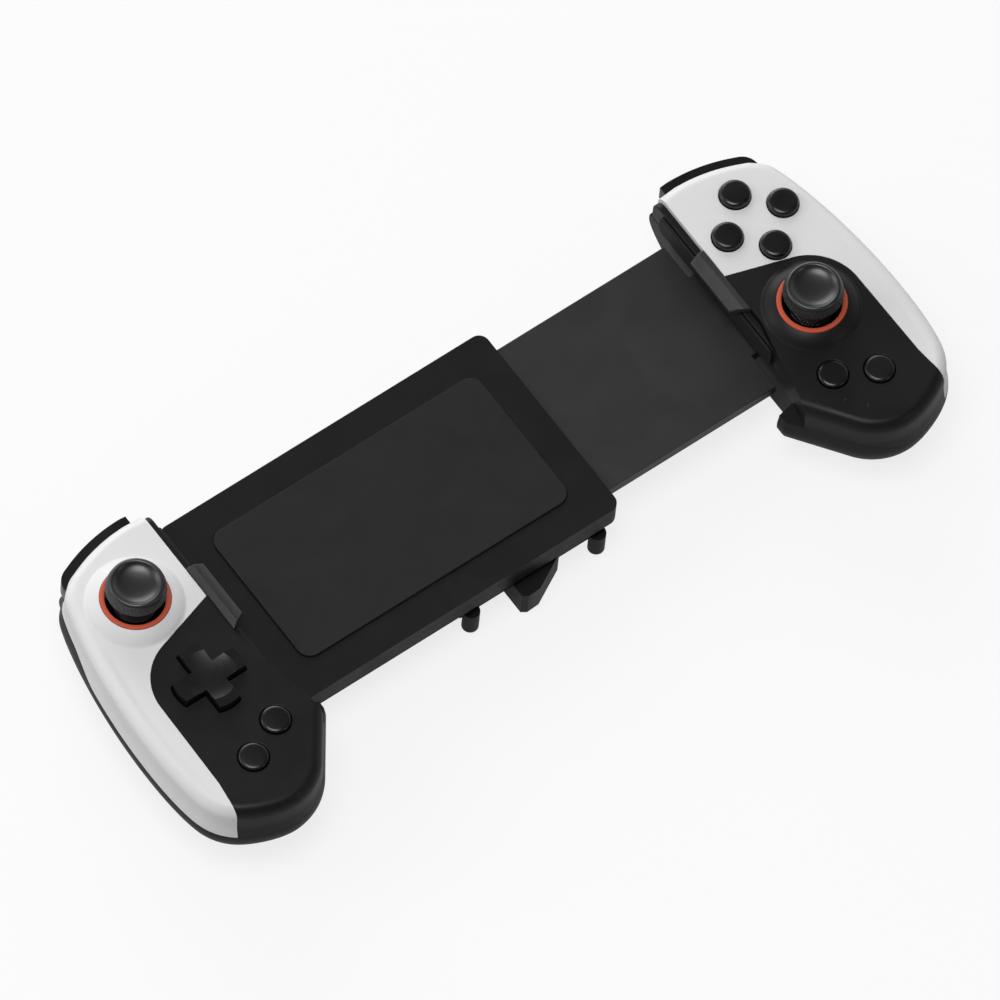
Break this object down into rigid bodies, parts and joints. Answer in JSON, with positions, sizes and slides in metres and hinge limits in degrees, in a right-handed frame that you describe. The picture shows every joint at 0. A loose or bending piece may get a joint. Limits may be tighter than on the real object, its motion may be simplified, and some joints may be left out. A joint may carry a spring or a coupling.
{
  "type": "mobile game controller",
  "caption": "Two-grip game controller on a telescopic bridge that clamps a phone between its grips, with sticks, a direction pad, round buttons, shoulder buttons and triggers.",
  "frame": {"origin": "middle of the footprint on the table, controller lying on its back", "axes": "X runs to the right along the phone, Y towards the shoulder buttons, Z out of the face"},
  "size_m": [0.244, 0.0953, 0.0413],
  "materials": {
    "white_shell": "satin moulded",
    "black_shell": "fine matte texture",
    "black_key": "semi gloss",
    "grey_plastic": "satin",
    "black_rubber": "matte",
    "orange_ring": "satin",
    "steel": "bright",
    "black_screw": "black oxide",
    "board": "lacquered",
    "cell": "wrapped",
    "cable": "film",
    "light_pipe": "clear"
  },
  "bodies": {
    "left_grip": {"left_white_cover": "white_shell", "left_black_cover": "black_shell", "left_rear_shell": "black_shell", "left_end_frame": "black_shell", "left_phone_pad": "black_rubber", "left_phone_clip": "grey_plastic", "left_stick_ring": "orange_ring", "left_stick_housing": "steel", "left_board": "board", "left_membrane": "black_rubber", "left_trigger_pin": "steel", "left_trigger_spring": "steel", "left_screws": "black_screw", "battery": "cell", "sleeve_front": "black_shell", "sleeve_back": "black_shell", "seat_pad": "black_rubber", "rear_rest": "black_shell", "sleeve_screws": "black_screw", "tension_springs": "steel", "ribbon_cable": "cable"},
    "right_grip": {"rail": "grey_plastic", "right_white_cover": "white_shell", "right_black_cover": "black_shell", "right_rear_shell": "black_shell", "right_end_frame": "black_shell", "right_phone_pad": "black_rubber", "right_phone_clip": "grey_plastic", "right_stick_ring": "orange_ring", "right_stick_housing": "steel", "right_board": "board", "right_membrane": "black_rubber", "right_trigger_pin": "steel", "right_trigger_spring": "steel", "right_screws": "black_screw", "charging_socket": "steel", "indicator_lights": "light_pipe"},
    "left_stick_frame": {"left_stick_gimbal": "steel"},
    "left_stick_stem": {"left_stick_shaft": "steel"},
    "left_stick_top": {"left_stick_cap": "black_key"},
    "cross_disc": {"cross_rocker": "grey_plastic"},
    "cross_key": {"cross_pad": "black_key"},
    "left_inner_key": {"left_button_inner": "black_key"},
    "left_outer_key": {"left_button_outer": "black_key"},
    "left_shoulder_key": {"left_shoulder": "black_key"},
    "left_trigger_key": {"left_trigger": "black_key"},
    "right_stick_frame": {"right_stick_gimbal": "steel"},
    "right_stick_stem": {"right_stick_shaft": "steel"},
    "right_stick_top": {"right_stick_cap": "black_key"},
    "top_key": {"face_button_top": "black_key"},
    "right_key": {"face_button_right": "black_key"},
    "bottom_key": {"face_button_bottom": "black_key"},
    "left_key": {"face_button_left": "black_key"},
    "right_inner_key": {"right_button_inner": "black_key"},
    "right_outer_key": {"right_button_outer": "black_key"},
    "right_shoulder_key": {"right_shoulder": "black_key"},
    "right_trigger_key": {"right_trigger": "black_key"}
  },
  "joints": [
    {"name": "bridge_slide", "type": "slide", "parent": "left_grip", "child": "right_grip", "axis": [1, 0, 0], "range_m": [-0.05, 0.015], "deforming": ["tension_springs", "ribbon_cable"]},
    {"name": "left_stick_pitch", "type": "hinge", "parent": "left_grip", "child": "left_stick_frame", "pos_m": [-0.0997, 0.02395, 0.0255], "axis": [1, 0, 0], "range_deg": [-16, 16], "stiffness_Nm_per_rad": 0.02},
    {"name": "left_stick_roll", "type": "hinge", "parent": "left_stick_frame", "child": "left_stick_stem", "pos_m": [-0.0997, 0.02395, 0.0255], "axis": [0, 1, 0], "range_deg": [-16, 16], "stiffness_Nm_per_rad": 0.02},
    {"name": "left_stick_press", "type": "slide", "parent": "left_stick_stem", "child": "left_stick_top", "axis": [0, 0, 1], "range_m": [-0.0004, 0], "stiffness_N_per_m": 1500},
    {"name": "right_stick_pitch", "type": "hinge", "parent": "right_grip", "child": "right_stick_frame", "pos_m": [0.09679, -0.00485, 0.0255], "axis": [1, 0, 0], "range_deg": [-16, 16], "stiffness_Nm_per_rad": 0.02},
    {"name": "right_stick_roll", "type": "hinge", "parent": "right_stick_frame", "child": "right_stick_stem", "pos_m": [0.09679, -0.00485, 0.0255], "axis": [0, 1, 0], "range_deg": [-16, 16], "stiffness_Nm_per_rad": 0.02},
    {"name": "right_stick_press", "type": "slide", "parent": "right_stick_stem", "child": "right_stick_top", "axis": [0, 0, 1], "range_m": [-0.0004, 0], "stiffness_N_per_m": 1500},
    {"name": "cross_pitch", "type": "hinge", "parent": "left_grip", "child": "cross_disc", "pos_m": [-0.09679, -0.00485, 0.026], "axis": [1, 0, 0], "range_deg": [-4, 4], "stiffness_Nm_per_rad": 0.05, "deforming": ["left_membrane"]},
    {"name": "cross_roll", "type": "hinge", "parent": "cross_disc", "child": "cross_key", "pos_m": [-0.09679, -0.00485, 0.026], "axis": [0, 1, 0], "range_deg": [-4, 4], "stiffness_Nm_per_rad": 0.05, "deforming": ["left_membrane"]},
    {"name": "left_inner_press", "type": "slide", "parent": "left_grip", "child": "left_inner_key", "axis": [0, 0, 1], "range_m": [-0.0006, 0], "stiffness_N_per_m": 600, "deforming": ["left_membrane"]},
    {"name": "left_outer_press", "type": "slide", "parent": "left_grip", "child": "left_outer_key", "axis": [0, 0, 1], "range_m": [-0.0006, 0], "stiffness_N_per_m": 600, "deforming": ["left_membrane"]},
    {"name": "right_inner_press", "type": "slide", "parent": "right_grip", "child": "right_inner_key", "axis": [0, 0, 1], "range_m": [-0.0006, 0], "stiffness_N_per_m": 600, "deforming": ["right_membrane"]},
    {"name": "right_outer_press", "type": "slide", "parent": "right_grip", "child": "right_outer_key", "axis": [0, 0, 1], "range_m": [-0.0006, 0], "stiffness_N_per_m": 600, "deforming": ["right_membrane"]},
    {"name": "face_top_press", "type": "slide", "parent": "right_grip", "child": "top_key", "axis": [0, 0, 1], "range_m": [-0.0012, 0], "stiffness_N_per_m": 400, "deforming": ["right_membrane"]},
    {"name": "face_right_press", "type": "slide", "parent": "right_grip", "child": "right_key", "axis": [0, 0, 1], "range_m": [-0.0012, 0], "stiffness_N_per_m": 400, "deforming": ["right_membrane"]},
    {"name": "face_bottom_press", "type": "slide", "parent": "right_grip", "child": "bottom_key", "axis": [0, 0, 1], "range_m": [-0.0012, 0], "stiffness_N_per_m": 400, "deforming": ["right_membrane"]},
    {"name": "face_left_press", "type": "slide", "parent": "right_grip", "child": "left_key", "axis": [0, 0, 1], "range_m": [-0.0012, 0], "stiffness_N_per_m": 400, "deforming": ["right_membrane"]},
    {"name": "left_shoulder_turn", "type": "hinge", "parent": "left_grip", "child": "left_shoulder_key", "pos_m": [-0.0873, 0.03985, 0.024], "axis": [0, 0, 1], "range_deg": [0, 3], "stiffness_Nm_per_rad": 0.4},
    {"name": "left_trigger_turn", "type": "hinge", "parent": "left_grip", "child": "left_trigger_key", "pos_m": [-0.09808, 0.03716, 0.017], "axis": [0.9588, 0.284, 0], "range_deg": [-12, 0], "stiffness_Nm_per_rad": 0.1, "deforming": ["left_trigger_spring"]},
    {"name": "right_shoulder_turn", "type": "hinge", "parent": "right_grip", "child": "right_shoulder_key", "pos_m": [0.0873, 0.03985, 0.024], "axis": [0, 0, 1], "range_deg": [-3, 0], "stiffness_Nm_per_rad": 0.4},
    {"name": "right_trigger_turn", "type": "hinge", "parent": "right_grip", "child": "right_trigger_key", "pos_m": [0.09808, 0.03716, 0.017], "axis": [0.9588, -0.284, 0], "range_deg": [-12, 0], "stiffness_Nm_per_rad": 0.1, "deforming": ["right_trigger_spring"]}
  ]
}
